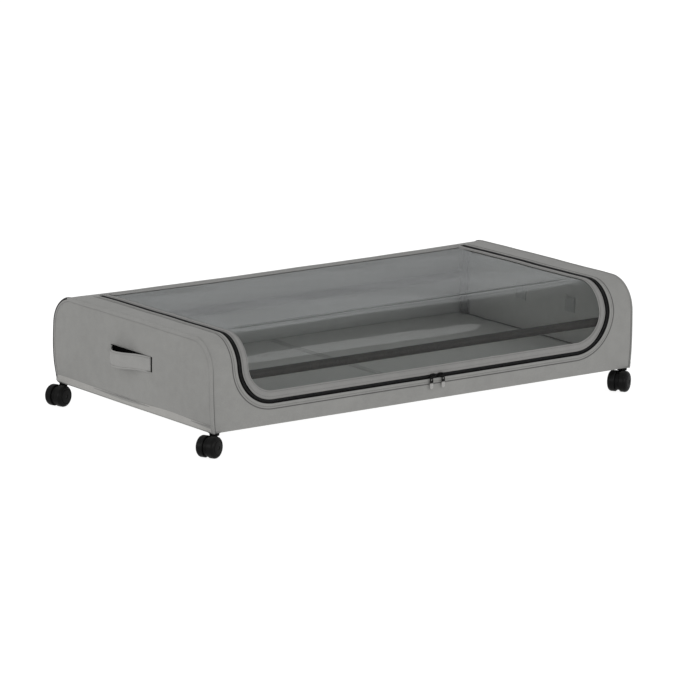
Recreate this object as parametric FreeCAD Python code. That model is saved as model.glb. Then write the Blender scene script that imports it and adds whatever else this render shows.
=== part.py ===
import FreeCAD, Part
import os
from math import sin, cos, radians, sqrt
from FreeCAD import Vector as V

os.makedirs("parts", exist_ok=True)

# ---------------------------------------------------------------- driving dimensions (mm)
LENGTH = 900.0            # fabric body, X
WIDTH = 500.0             # fabric body, Y (front is -Y)
HEIGHT = 160.0            # fabric body, Z
Z_BOTTOM = 41.0           # underside of the fabric body above the floor
R_TOP = 56.0              # rounded front-top and back-top edges
T_FABRIC = 1.5            # laminated fabric
T_BOARD = 1.5             # stiffener in the end walls
T_BASE = 2.5              # folding base boards

ZIP_INSET = 56.0          # zipper centreline from each end
ZIP_RISE = 42.0           # zipper centreline above the bottom edge
ZIP_RADIUS = 69.0         # its lower corners
ZIP_GAP = 0.8             # half the gap between the two coils
COIL = 1.8                # width of one row of coil
FABRIC_TO_ZIP = 4.5       # fabric edge either side of the zipper centreline
TAPE_BODY = 12.0          # tape reach under the body fabric
TAPE_FLAP = 14.0          # tape reach under the window border
T_TAPE = 0.8
BORDER_EDGE = 18.0        # inner edge of the window border from the zipper centreline
T_WINDOW = 1.0            # clear sheet
HINGE_Y = 185.0           # sewn hinge line along the back of the window
BACK_BORDER = 13.0        # border band in front of the hinge line
HINGE_GAP = 0.4

TUBE_R = 8.0              # steel tube, 16 mm outside
TUBE_WALL = 1.0
TUBE_INSET = 12.0         # tube centreline from the outside of the cover
MID_RAIL_RISE = 89.5      # mid rails above the bottom edge
CROSS_X = 147.0           # cross bars either side of the middle
BLOCK = 8.2               # half size of a corner connector's block
SPIGOT_R = 6.9
SPIGOT_LEN = 22.0

HANDLE_HALF = 60.0        # half the span of a strap handle
HANDLE_LOW = 71.4         # strap's lower edge above the bottom edge
HANDLE_WIDTH = 28.6
HANDLE_BOW = 24.0         # how far the strap stands out
T_STRAP = 1.6

WHEEL_R = 19.0
WHEEL_W = 15.0
WHEEL_GAP = 4.0           # inner face of each wheel from the caster's middle
TRAIL = 17.0              # wheel axis from the swivel axis
AXLE_R = 2.0
RUN = 0.06                # radial running clearance
STEM_R = 4.0
JOURNAL_R = 3.0
HOOD_TOP = 39.6
CASTER_TURN = {"front_left": 25.0, "back_left": 19.0, "front_right": 34.0, "back_right": 28.0}

SLIDER_X = {"left": 8.8, "right": 25.2}   # slider centres on the front run
POST_OFF = 4.4            # pull post from the slider's centre

HL, HW = LENGTH / 2, WIDTH / 2
Z_TOP = Z_BOTTOM + HEIGHT
Z_RAIL = Z_BOTTOM + T_FABRIC + TUBE_R + 0.1
Z_MID = Z_BOTTOM + MID_RAIL_RISE
TX, TY = HL - TUBE_INSET, HW - TUBE_INSET
X_IN = HL - T_FABRIC
Z_ZIP = Z_BOTTOM + ZIP_RISE


# ---------------------------------------------------------------- helpers
def box(x0, x1, y0, y1, z0, z1):
    return Part.makeBox(x1 - x0, y1 - y0, z1 - z0, V(x0, y0, z0))


def cyl(r, p, d, h):
    return Part.makeCylinder(r, h, V(*p), V(*d))


def face(edges):
    return Part.Face(Part.Wire(edges))


def seg(a, b):
    return Part.LineSegment(V(*a), V(*b)).toShape()


def arc(a, m, b):
    return Part.Arc(V(*a), V(*m), V(*b)).toShape()


def fuse(*s):
    out = s[0]
    for o in s[1:]:
        out = out.fuse(o)
    return out.removeSplitter()


def out(shape, name):
    solids = shape.Solids
    shape = solids[0] if len(solids) == 1 else Part.makeCompound(solids)
    if not shape.isValid():
        raise RuntimeError(name + " is not valid")
    shape.exportStep("parts/%s.step" % name)
    print("%-28s %2d solid %12.1f mm3" % (name, len(solids), sum(s.Volume for s in solids)))


def section(d, x0, x1, z_low):
    """The cover's cross-section, d inside the outer surface, from x0 to x1."""
    y, zt, r = HW - d, Z_TOP - d, R_TOP - d
    k = r * (1 - cos(radians(45)))
    e = [seg((x0, -y, z_low), (x0, -y, zt - r)),
         arc((x0, -y, zt - r), (x0, -y + k, zt - k), (x0, -y + r, zt)),
         seg((x0, -y + r, zt), (x0, y - r, zt)),
         arc((x0, y - r, zt), (x0, y - k, zt - k), (x0, y, zt - r)),
         seg((x0, y, zt - r), (x0, y, z_low)),
         seg((x0, y, z_low), (x0, -y, z_low))]
    return face(e).extrude(V(x1 - x0, 0, 0))


def skin(d0, d1, x0=-X_IN, x1=X_IN, z_low=Z_BOTTOM):
    """A layer of the wrap between depths d0 and d1, open at the bottom."""
    return section(d0, x0, x1, z_low).cut(section(d1, x0 - 1, x1 + 1, z_low - 5))


def window(o, y1, y0=-HW - 40):
    """A prism along Y whose outline lies o outside the zipper centreline."""
    x, z, r = HL - ZIP_INSET + o, Z_ZIP - o, ZIP_RADIUS + o
    k = r * (1 - cos(radians(45)))
    zt = Z_TOP + 60
    e = [seg((-x, y0, zt), (-x, y0, z + r)),
         arc((-x, y0, z + r), (-x + k, y0, z + k), (-x + r, y0, z)),
         seg((-x + r, y0, z), (x - r, y0, z)),
         arc((x - r, y0, z), (x - k, y0, z + k), (x, y0, z + r)),
         seg((x, y0, z + r), (x, y0, zt)),
         seg((x, y0, zt), (-x, y0, zt))]
    return face(e).extrude(V(0, y1 - y0, 0))


def tube(p0, d, h):
    return cyl(TUBE_R, p0, d, h).cut(cyl(TUBE_R - TUBE_WALL, p0, d, h))


# ---------------------------------------------------------------- fabric cover
bottom = box(-X_IN, X_IN, -HW + T_FABRIC, HW - T_FABRIC, Z_BOTTOM, Z_BOTTOM + T_FABRIC)
for sx in (-1, 1):
    for sy in (-1, 1):
        bottom = bottom.cut(cyl(6.6, (sx * TX, sy * TY, Z_BOTTOM - 1), (0, 0, 1), 5))
out(bottom, "cover_bottom_panel")

slits = []
for sy in (-1, 1):
    slits.append((sy * (HANDLE_HALF + 1.0) - 1.6, sy * (HANDLE_HALF + 1.0) + 1.6))
Z_H0 = Z_BOTTOM + HANDLE_LOW
Z_H1 = Z_H0 + HANDLE_WIDTH
for name, s in (("left", -1), ("right", 1)):
    a, b = sorted((s * HL, s * X_IN))
    panel = section(0, a, b, Z_BOTTOM)
    c, d = sorted((s * X_IN, s * (X_IN - T_BOARD)))
    board = section(T_FABRIC + 1.0, c, d, Z_BOTTOM + T_FABRIC + 0.5)
    for y0, y1 in slits:
        hole = box(-HL - 5, HL + 5, y0, y1, Z_H0 - 1.0, Z_H1 + 1.0)
        panel, board = panel.cut(hole), board.cut(hole)
    for sy in (-1, 1):            # clearance for the frame screw heads
        board = board.cut(cyl(5.2, (-HL - 5, sy * TY, Z_MID), (1, 0, 0), LENGTH + 10))
    out(panel, "cover_end_panel_" + name)
    out(board, "end_board_" + name)
    # binding strip sewn over the back edge of the end wall
    a, b = sorted((s * (HL + 0.4), s * (X_IN + 0.2)))
    strip = section(-0.5, a, b, Z_BOTTOM + 10).cut(section(0, a - 1, b + 1, Z_BOTTOM))
    strip = strip.common(box(-HL - 5, HL + 5, 150, HW + 5, Z_BOTTOM + 10, Z_TOP + 5))
    out(strip, "edge_binding_" + name)

wrap = skin(0, T_FABRIC).cut(window(FABRIC_TO_ZIP, HINGE_Y))
Z_SEAM = Z_TOP - R_TOP
out(wrap.common(box(-HL, HL, HINGE_Y, HW + 5, 0, 300)), "cover_back_panel")
out(wrap.common(box(-HL, HL, -HW - 5, 0, 0, Z_SEAM)), "cover_front_panel")
upper = wrap.common(box(-HL, HL, -HW - 5, HINGE_Y, Z_SEAM, 300))
out(upper.common(box(-HL, 0, -300, 300, 0, 300)), "cover_shoulder_left")
out(upper.common(box(0, HL, -300, 300, 0, 300)), "cover_shoulder_right")

# ---------------------------------------------------------------- zipper tapes with their coils
END_Y = HINGE_Y - 2.5
tape = skin(T_FABRIC, T_FABRIC + T_TAPE).common(
    window(TAPE_BODY, END_Y).cut(window(ZIP_GAP, END_Y + 1)))
coil = skin(0, T_FABRIC + T_TAPE / 2).common(
    window(ZIP_GAP + COIL, END_Y).cut(window(ZIP_GAP, END_Y + 1)))
out(fuse(tape, coil), "zipper_tape_body")

tape = skin(T_FABRIC, T_FABRIC + T_TAPE).common(
    window(-ZIP_GAP, END_Y).cut(window(-TAPE_FLAP, END_Y + 1)))
coil = skin(0, T_FABRIC + T_TAPE / 2).common(
    window(-ZIP_GAP, END_Y).cut(window(-ZIP_GAP - COIL, END_Y + 1)))
out(fuse(tape, coil), "zipper_tape_flap")

# ---------------------------------------------------------------- window flap
y_flap = HINGE_Y - HINGE_GAP
border = skin(0, T_FABRIC).common(window(-FABRIC_TO_ZIP, y_flap)).cut(
    window(-BORDER_EDGE, HINGE_Y - BACK_BORDER))
out(border, "window_border")
d0 = T_FABRIC + T_TAPE
out(skin(d0, d0 + T_WINDOW).common(window(-FABRIC_TO_ZIP - 0.5, y_flap)), "window_sheet")

# ---------------------------------------------------------------- stiff base
for name, s in (("left", -1), ("right", 1)):
    a, b = sorted((s * 0.5, s * (X_IN - T_BOARD - 1.0)))
    z = Z_RAIL + TUBE_R + 0.1
    base = box(a, b, -HW + T_FABRIC + 1.5, HW - T_FABRIC - 1.5, z, z + T_BASE)
    for sy in (-1, 1):
        # a square notch clears the leg and its corner
        xa, xb = sorted((s * (TX - TUBE_R - 1.0), s * (TX + 30)))
        ya, yb = sorted((sy * (TY - TUBE_R - 1.0), sy * (TY + 30)))
        base = base.cut(box(xa, xb, ya, yb, z - 1, z + T_BASE + 1))
    out(base, "base_board_" + name)

# ---------------------------------------------------------------- steel frame
Z_LEG = Z_RAIL + TUBE_R           # legs start on top of the corner blocks
BEND = R_TOP - TUBE_INSET
zc, yc = Z_TOP - R_TOP, HW - R_TOP
k = BEND * (1 - cos(radians(45)))
SCREW_R = 2.4


def hoop(x, r):
    zt = zc + BEND
    path = Part.Wire([
        seg((x, -TY, Z_LEG), (x, -TY, zc)),
        arc((x, -TY, zc), (x, -TY + k, zt - k), (x, -yc, zt)),
        seg((x, -yc, zt), (x, yc, zt)),
        arc((x, yc, zt), (x, TY - k, zt - k), (x, TY, zc)),
        seg((x, TY, zc), (x, TY, Z_LEG))])
    ring = Part.Wire([Part.makeCircle(r, V(x, -TY, Z_LEG), V(0, 0, 1))])
    return Part.Solid(path.makePipeShell([ring], True, False))


screws, plugs = [], []


def plug_and_screw(leg_axis, leg_p, rail_p, rail_d):
    """A saddle plug in a rail's end, against another tube, and the screw through that tube into it.
    rail_p is the point on the crossed tube's axis, rail_d the way the rail runs from there."""
    p, d = V(*rail_p), V(*rail_d)
    start = p
    body = Part.makeCylinder(TUBE_R, 12.0, start, d)
    spig = Part.makeCylinder(SPIGOT_R, 30.0, start, d)
    saddle = Part.makeCylinder(TUBE_R + 0.05, 60, V(*leg_p) - V(*leg_axis) * 30, V(*leg_axis))
    plug = fuse(body, spig).cut(saddle)
    plug = plug.cut(Part.makeCylinder(SCREW_R + 0.1, 26.0, start, d))
    plugs.append(max(plug.Solids, key=lambda s: s.Volume))
    head0 = start - d * (TUBE_R + 1.7)
    head = Part.makeCylinder(4.2, 1.65, head0, d)
    shank = Part.makeCylinder(SCREW_R, 33.0, head0, d)
    drive = Part.makeCylinder(1.3, 0.9, head0, d)
    screws.append(fuse(head, shank).cut(drive))


def screw_hole(p, d):
    return Part.makeCylinder(SCREW_R + 0.1, 2 * TUBE_R + 6, V(*p) - V(*d) * (TUBE_R + 3), V(*d))


for name, s in (("left", -1), ("right", 1)):
    h = hoop(s * TX, TUBE_R).cut(hoop(s * TX, TUBE_R - TUBE_WALL))
    for sy in (-1, 1):
        h = h.cut(screw_hole((s * TX, sy * TY, Z_MID), (1, 0, 0)))
        plug_and_screw((0, 0, 1), (s * TX, sy * TY, Z_MID), (s * TX, sy * TY, Z_MID), (-s, 0, 0))
    out(h, "end_hoop_" + name)
    out(tube((s * TX, -TY + BLOCK, Z_RAIL), (0, 1, 0), 2 * (TY - BLOCK)), name + "_bottom_bar")
for name, s in (("front", -1), ("back", 1)):
    rail = tube((-TX + BLOCK, s * TY, Z_RAIL), (1, 0, 0), 2 * (TX - BLOCK))
    for sx in (-1, 1):
        rail = rail.cut(screw_hole((sx * CROSS_X, s * TY, Z_RAIL), (0, 1, 0)))
    out(rail, name + "_bottom_rail")
    out(tube((-TX + 12.0, s * TY, Z_MID), (1, 0, 0), 2 * (TX - 12.0)), name + "_mid_rail")
for name, s in (("left", -1), ("right", 1)):
    out(tube((s * CROSS_X, -TY + 12.0, Z_RAIL), (0, 1, 0), 2 * (TY - 12.0)), "cross_bar_" + name)
    for sy in (-1, 1):
        plug_and_screw((1, 0, 0), (s * CROSS_X, sy * TY, Z_RAIL), (s * CROSS_X, sy * TY, Z_RAIL), (0, -sy, 0))
out(Part.makeCompound(plugs), "rail_saddle_plugs")
out(Part.makeCompound(screws), "frame_screws")

for cname in CASTER_TURN:
    sy = -1 if cname.startswith("front") else 1
    sx = -1 if cname.endswith("left") else 1
    x, y = sx * TX, sy * TY
    b = box(x - BLOCK, x + BLOCK, y - BLOCK, y + BLOCK, Z_RAIL - TUBE_R, Z_RAIL + TUBE_R)
    b = b.makeFillet(2.0, [e for e in b.Edges if abs(e.tangentAt(e.FirstParameter).z) > 0.9])
    b = fuse(b,
             cyl(SPIGOT_R, (x, y, Z_RAIL), (0, 0, 1), TUBE_R + 30.0),
             cyl(SPIGOT_R, (x, y, Z_RAIL), (-sx, 0, 0), BLOCK + SPIGOT_LEN),
             cyl(SPIGOT_R, (x, y, Z_RAIL), (0, -sy, 0), BLOCK + SPIGOT_LEN))
    b = b.cut(cyl(STEM_R + 0.05, (x, y, Z_RAIL - TUBE_R - 1), (0, 0, 1), 37.0))
    out(b, "corner_connector_" + cname)

# ---------------------------------------------------------------- strap handles
rise = HANDLE_BOW - 0.8
R_BOW = (HANDLE_HALF ** 2 + rise ** 2) / (2 * rise)
for name, s in (("left", -1), ("right", 1)):
    cx = s * (HL + HANDLE_BOW - T_STRAP / 2 - R_BOW)
    ring = cyl(R_BOW + T_STRAP / 2, (cx, 0, Z_H0), (0, 0, 1), HANDLE_WIDTH).cut(
        cyl(R_BOW - T_STRAP / 2, (cx, 0, Z_H0 - 1), (0, 0, 1), HANDLE_WIDTH + 2))
    a, b = sorted((s * (HL + 0.3), s * (HL + 60)))
    bow = ring.common(box(a, b, -200, 200, 0, 300))
    parts = [bow]
    for sy in (-1, 1):
        ye = sy * (HANDLE_HALF + 1.0)
        a, b = sorted((s * (HL + 1.9), s * (X_IN - T_BOARD - T_STRAP)))
        parts.append(box(a, b, ye - 0.8, ye + 0.8, Z_H0, Z_H1))
        a, b = sorted((s * (X_IN - T_BOARD), s * (X_IN - T_BOARD - T_STRAP)))
        ya, yb = sorted((ye - sy * 0.8, ye + sy * 28.0))
        parts.append(box(a, b, ya, yb, Z_H0, Z_H1))
    out(fuse(*parts), "handle_strap_" + name)

# ---------------------------------------------------------------- casters


def caster_pieces():
    """One caster with its swivel axis on Z and its wheels trailing toward -X."""
    ax = V(-TRAIL, 0, WHEEL_R)
    web_y = WHEEL_GAP - 0.5
    hub_low = 14.0
    clearance = cyl(WHEEL_R + 0.6, (-TRAIL, -25, WHEEL_R), (0, 1, 0), 50)
    # hood: a web between the wheels, a hub for the stem, and a cap above the hub
    web = cyl(16.0, (-TRAIL, -web_y, WHEEL_R), (0, 1, 0), 2 * web_y)
    prof = face([seg((-TRAIL, -web_y, WHEEL_R + 16.0), (-5.0, -web_y, HOOD_TOP - 1.6)),
                 seg((-5.0, -web_y, HOOD_TOP - 1.6), (0, -web_y, HOOD_TOP - 1.6)),
                 seg((0, -web_y, HOOD_TOP - 1.6), (0, -web_y, hub_low)),
                 seg((0, -web_y, hub_low), (-TRAIL, -web_y, WHEEL_R - 12.0)),
                 seg((-TRAIL, -web_y, WHEEL_R - 12.0), (-TRAIL, -web_y, WHEEL_R + 16.0))]
                ).extrude(V(0, 2 * web_y, 0))
    cap = cyl(8.5, (0, 0, HOOD_TOP - 4.0), (0, 0, 1), 4.0)
    cap = cap.makeFillet(1.2, [e for e in cap.Edges if abs(e.CenterOfMass.z - HOOD_TOP) < 0.1])
    cap = cap.cut(clearance)
    hub = cyl(5.4, (0, 0, 24.0), (0, 0, 1), HOOD_TOP - 1.0 - 24.0).cut(clearance)
    hood = fuse(web, prof, cyl(web_y, (0, 0, hub_low), (0, 0, 1), HOOD_TOP - 1.0 - hub_low), hub, cap)
    hood = hood.cut(cyl(JOURNAL_R + RUN, (0, 0, 28.0), (0, 0, 1), 40))
    hood = hood.cut(cyl(AXLE_R + 0.02, (-TRAIL, -20, WHEEL_R), (0, 1, 0), 40))
    # stem: journal in the hood, collar, grip stem in the corner connector
    stem = fuse(cyl(JOURNAL_R, (0, 0, 28.5), (0, 0, 1), 14.5),
                cyl(6.2, (0, 0, 40.1), (0, 0, 1), 2.4),
                cyl(STEM_R, (0, 0, 42.0), (0, 0, 1), 33.0))
    groove = cyl(STEM_R + 1, (0, 0, 66.0), (0, 0, 1), 2.5).cut(cyl(STEM_R - 0.6, (0, 0, 65.0), (0, 0, 1), 4.5))
    stem = stem.cut(groove)
    axle = cyl(AXLE_R, (-TRAIL, -18.2, WHEEL_R), (0, 1, 0), 36.4)
    wheels = []
    for s in (-1, 1):
        y0, y1 = WHEEL_GAP, WHEEL_GAP + WHEEL_W
        # profile in (radius, y), turned about the axle: a rounded tread and a domed outer face

        def q(r, y):
            return (-TRAIL + r, s * y, WHEEL_R)

        rows = [(AXLE_R + RUN, y0 + 0.6), (5.6, y0 + 0.6), (5.6, y0 + 2.0), (14.4, y0 + 2.0), (15.0, y0),
                (WHEEL_R - 1.0, y0), (WHEEL_R, y0 + 1.2), (WHEEL_R, y1 - 6.5)]
        edges = [seg(q(*rows[i]), q(*rows[i + 1])) for i in range(len(rows) - 1)]
        edges.append(arc(q(WHEEL_R, y1 - 6.5), q(WHEEL_R - 1.4, y1 - 3.2), q(WHEEL_R - 4.2, y1 - 1.2)))
        rows = [(WHEEL_R - 4.2, y1 - 1.2), (13.4, y1 - 0.9), (12.9, y1 - 1.6), (12.2, y1 - 1.6), (11.7, y1 - 0.7)]
        edges += [seg(q(*rows[i]), q(*rows[i + 1])) for i in range(len(rows) - 1)]
        edges.append(arc(q(11.7, y1 - 0.7), q(8.0, y1 - 0.25), q(AXLE_R + 1.6, y1)))
        rows = [(AXLE_R + 1.6, y1), (AXLE_R + 1.2, y1 - 0.8), (AXLE_R + RUN, y1 - 0.8), (AXLE_R + RUN, y0 + 0.6)]
        edges += [seg(q(*rows[i]), q(*rows[i + 1])) for i in range(len(rows) - 1)]
        w = face(edges).revolve(ax, V(0, 1, 0), 360)
        w = w.Solids[0] if w.Solids else Part.Solid(Part.Shell(w.Faces))
        if w.Volume < 0:
            w.reverse()
        wheels.append(w)
    return {"hood": hood, "stem": stem, "axle": axle, "wheel_outer": wheels[0], "wheel_inner": wheels[1]}


for cname, turn in CASTER_TURN.items():
    sy = -1 if cname.startswith("front") else 1
    sx = -1 if cname.endswith("left") else 1
    pieces = caster_pieces()
    if sy > 0:
        pieces["wheel_outer"], pieces["wheel_inner"] = pieces["wheel_inner"], pieces["wheel_outer"]
    for key, shape in pieces.items():
        q = shape.copy()
        q.rotate(V(0, 0, 0), V(0, 0, 1), turn)
        q.translate(V(sx * TX, sy * TY, 0))
        out(q, "caster_%s_%s" % (cname, key))

# ---------------------------------------------------------------- zipper sliders and pull tabs
Y_PLATE = -HW - 1.4               # back of the slider's front plate
T_PLATE = 1.8
for name, s in (("left", -1), ("right", 1)):
    cx = SLIDER_X[name]
    nose = -s                      # the noses face each other
    y1 = Y_PLATE
    y0 = y1 - T_PLATE

    def plate(ya, yb, half_z):
        # shield outline, narrower at the tail
        xs = [(-5.4, 0.62), (-4.4, 0.85), (2.0, 1.0), (4.6, 0.8), (5.5, 0.3)]
        up = [(cx + nose * a, half_z * b) for a, b in xs]
        pts = [(x, Z_ZIP + z) for x, z in up] + [(x, Z_ZIP - z) for x, z in reversed(up)]
        e = [seg((pts[i][0], ya, pts[i][1]), (pts[(i + 1) % len(pts)][0], ya, pts[(i + 1) % len(pts)][1]))
             for i in range(len(pts))]
        return face(e).extrude(V(0, yb - ya, 0))

    front = plate(y0, y1, 4.3)
    back_y = -HW + T_FABRIC + T_TAPE + 0.4
    back = plate(back_y, back_y + 1.1, 4.0)
    neck = box(cx + nose * 2.0 - 1.6, cx + nose * 2.0 + 1.6, y1 - 0.3, back_y + 0.3, Z_ZIP - 0.4, Z_ZIP + 0.4)
    flange = box(cx - 4.0, cx + 4.0, y1 - 0.5, -HW + 1.0, Z_ZIP - 4.2, Z_ZIP - 3.2).common(
        plate(y0 - 1, 0, 4.3))
    px = cx - nose * POST_OFF
    nx = cx + nose * 3.4
    y_bar = y0 - 3.2
    post = cyl(0.9, (px, y_bar, Z_ZIP), (0, 1, 0), 3.4)
    post2 = cyl(0.9, (nx, y_bar, Z_ZIP), (0, 1, 0), 3.4)
    xa, xb = sorted((px, nx))
    bar = box(xa, xb, y_bar - 0.9, y_bar + 0.1, Z_ZIP - 0.9, Z_ZIP + 0.9)
    bar = fuse(bar, cyl(0.9, (px, y_bar - 0.9, Z_ZIP), (0, 1, 0), 1.0), cyl(0.9, (nx, y_bar - 0.9, Z_ZIP), (0, 1, 0), 1.0))
    out(fuse(front, back, neck, flange, post, post2, bar), "zipper_slider_" + name)

    # pull tab: hangs flat from the outer post
    yt0, yt1 = y0 - 2.2, y0 - 1.0
    head = cyl(2.7, (px, yt0, Z_ZIP), (0, 1, 0), yt1 - yt0)
    tip = Z_ZIP - 21.0
    blade_pts = [(-2.2, -1.0), (-3.0, -6.0), (-3.3, -9.0), (-3.3, -19.0)]
    pts = [(px + x, Z_ZIP + z) for x, z in blade_pts]
    e = [seg((pts[i][0], yt0, pts[i][1]), (pts[i + 1][0], yt0, pts[i + 1][1])) for i in range(len(pts) - 1)]
    e.append(arc((px - 3.3, yt0, tip + 2.0), (px, yt0, tip - 1.3), (px + 3.3, yt0, tip + 2.0)))
    pts2 = [(px - x + px, z) for x, z in pts]
    e += [seg((pts2[i + 1][0], yt0, pts2[i + 1][1]), (pts2[i][0], yt0, pts2[i][1])) for i in range(len(pts2) - 2, -1, -1)]
    e.append(seg((pts2[0][0], yt0, pts2[0][1]), (pts[0][0], yt0, pts[0][1])))
    blade = face(Part.__sortEdges__(e)).extrude(V(0, yt1 - yt0, 0))
    pull = fuse(head, blade)
    pull = pull.cut(cyl(0.98, (px, yt0 - 1, Z_ZIP), (0, 1, 0), 5))
    pull = pull.cut(cyl(1.7, (px, yt0 - 1, Z_ZIP - 6.4), (0, 1, 0), 5))
    out(pull, "zipper_pull_" + name)
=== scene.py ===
import bpy
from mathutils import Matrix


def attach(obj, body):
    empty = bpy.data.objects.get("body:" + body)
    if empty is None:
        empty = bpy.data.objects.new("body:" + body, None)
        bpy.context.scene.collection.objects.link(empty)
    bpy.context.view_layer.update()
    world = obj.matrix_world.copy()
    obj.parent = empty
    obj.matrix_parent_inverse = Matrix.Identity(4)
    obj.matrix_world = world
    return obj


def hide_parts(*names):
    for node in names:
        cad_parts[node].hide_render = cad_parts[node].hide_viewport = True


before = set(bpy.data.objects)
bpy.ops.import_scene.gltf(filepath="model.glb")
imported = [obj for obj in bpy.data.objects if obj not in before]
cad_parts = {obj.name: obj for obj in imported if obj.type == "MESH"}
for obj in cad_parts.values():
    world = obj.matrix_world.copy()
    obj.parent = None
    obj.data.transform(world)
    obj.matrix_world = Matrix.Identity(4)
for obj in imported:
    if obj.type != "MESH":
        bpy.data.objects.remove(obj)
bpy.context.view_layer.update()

import bpy
import math
import random
from math import sin, cos, pi, sqrt, exp, radians
from mathutils import Vector, Matrix

random.seed(7)

# ============================================================ the cover's geometry (mm)
L2, W2, H, Z0, R = 450.0, 250.0, 160.0, 41.0, 56.0
S_F = H - R                       # top of the flat front
S_A = S_F + R * pi / 2            # start of the flat top
S_T = S_A + 2 * (W2 - R)          # its back end
S_B = S_T + R * pi / 2
S_END = S_B + S_F                 # foot of the back wall
ZI, ZR, ZC = 56.0, 42.0, 69.0     # zipper: inset from the ends, rise, corner radius
HINGE_Y = 185.0
S_HINGE = S_A + (HINGE_Y + (W2 - R))
AX, AS = L2 - ZI - ZC, ZR + ZC    # arc centre in (x, s)


def wrap(s):
    """y, z and outward normal of the cover's surface at arc length s up the front and over to the back."""
    if s <= S_F:
        return -W2, Z0 + s, -1.0, 0.0
    if s <= S_A:
        a = (s - S_F) / R
        return -(W2 - R) - R * cos(a), Z0 + H - R + R * sin(a), -cos(a), sin(a)
    if s <= S_T:
        return -(W2 - R) + (s - S_A), Z0 + H, 0.0, 1.0
    if s <= S_B:
        a = (s - S_T) / R
        return (W2 - R) + R * sin(a), Z0 + H - R + R * cos(a), sin(a), cos(a)
    return W2, Z0 + H - R - (s - S_B), 1.0, 0.0


def sstep(a, b, x):
    t = min(1.0, max(0.0, (x - a) / (b - a)))
    return t * t * (3 - 2 * t)


def end_shift(x, z):
    """How far the ends lean in towards the foot."""
    zr = min(1.0, max(0.0, (z - Z0) / 75.0))
    e = -4.0 * (1 - zr) ** 2 - 0.4 * sstep(130, 160, z - Z0)
    k = sstep(370, 450, abs(x)) if abs(x) <= 450 else 1.0
    return math.copysign(1, x) * e * k


def slack(x, s):
    """Outward offset of the whole skin: sag of the top, belly of the back wall, gentle unevenness."""
    y, z, ny, nz = wrap(s)
    end = min(1.0, abs(x) / 420.0)
    amp = 1.3 + 2.5 * (1 - end ** 4)
    out = -amp * exp(-((y - 205.0) / 125.0) ** 2) * max(0.0, nz)
    out -= 1.6 * (1 - end ** 4) * exp(-((y + 40.0) / 120.0) ** 2) * max(0.0, nz)
    if s > S_B:
        t = (s - S_B) / S_F
        out += 2.4 * sin(pi * min(1, t * 1.15)) * 1.0 - 2.6 * sstep(0.6, 1.0, t)
    if s < 40:
        out -= 1.0 * (1 - s / 40.0) ** 2
    # slow unevenness of fabric pulled over a frame
    out += 0.35 * sin(x / 71.0 + 1.1 * sin(s / 57.0)) * sin(s / 39.0 + 0.8 * sin(x / 113.0))
    out += 0.16 * sin(x / 23.0 + 2.0 * sin(s / 71.0) + 1.0) * sin(s / 17.0 + x / 61.0)
    return out


def P(x, s, h):
    """A point h outside the nominal skin."""
    y, z, ny, nz = wrap(s)
    d = h + slack(x, s)
    return (x + end_shift(x, z), y + ny * d, z + nz * d)


def N(x, s):
    y, z, ny, nz = wrap(s)
    return Vector((0, ny, nz))


# ------------------------------------------------------------ the zipper's path in (x, s)
def columns(step_run, step_arc, step_front, s_end=S_HINGE):
    """[(x, s, nx, ns, kind)] from the back left, round the front, to the back right; n points to the body side."""
    cols = []
    n = max(2, int(round((s_end - AS) / step_run)))
    for i in range(n):
        cols.append((-(AX + ZC), s_end - (s_end - AS) * i / n, -1.0, 0.0, "side"))
    tc = math.atan2(AS, L2 - AX)      # the ray that meets the panel's corner
    m = max(4, int(round(ZC * pi / 2 / step_arc)))
    angs = [pi / 2 * i / m for i in range(m)]
    j = min(range(len(angs)), key=lambda k: abs(angs[k] - tc))
    angs[j] = tc
    for a in angs:
        cols.append((-AX - ZC * cos(a), AS - ZC * sin(a), -cos(a), -sin(a), "arc"))
    n = int(round(2 * AX / step_front))
    for i in range(n + 1):
        cols.append((-AX + 2 * AX * i / n, ZR, 0.0, -1.0, "front"))
    left = cols[:-(n + 1)]
    for x, s, nx, ns, k in reversed(left):
        cols.append((-x, s, -nx, ns, k))
    return cols


def boundary(c):
    """Distance along n from the zipper's centreline to the panel's edge."""
    x, s, nx, ns, kind = c
    if kind == "side":
        return ZI
    if kind == "front":
        return ZR
    a = math.atan2(-ns, abs(nx))
    ax = (L2 - AX) / max(1e-9, cos(a))
    as_ = AS / max(1e-9, sin(a))
    return min(ax, as_) - ZC


PATH_RUN = S_HINGE - 2.5 - AS
PATH_ARC = ZC * pi / 2
PATH_LEN = 2 * PATH_RUN + 2 * PATH_ARC + 2 * AX


def along(t, o=0.0):
    """(x, s, nx, ns) at length t along the zipper's centreline, o to the body side."""
    if t < PATH_RUN:
        x, s, nx, ns = -(AX + ZC), S_HINGE - 2.5 - t, -1.0, 0.0
    elif t < PATH_RUN + PATH_ARC:
        a = (t - PATH_RUN) / ZC
        x, s, nx, ns = -AX - ZC * cos(a), AS - ZC * sin(a), -cos(a), -sin(a)
    elif t < PATH_RUN + PATH_ARC + 2 * AX:
        x, s, nx, ns = -AX + (t - PATH_RUN - PATH_ARC), ZR, 0.0, -1.0
    elif t < PATH_LEN - PATH_RUN:
        a = (PATH_LEN - PATH_RUN - t) / ZC
        x, s, nx, ns = AX + ZC * cos(a), AS - ZC * sin(a), cos(a), -sin(a)
    else:
        x, s, nx, ns = AX + ZC, S_HINGE - 2.5 - (PATH_LEN - t), 1.0, 0.0
    return x + nx * o, s + ns * o, nx, ns


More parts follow.
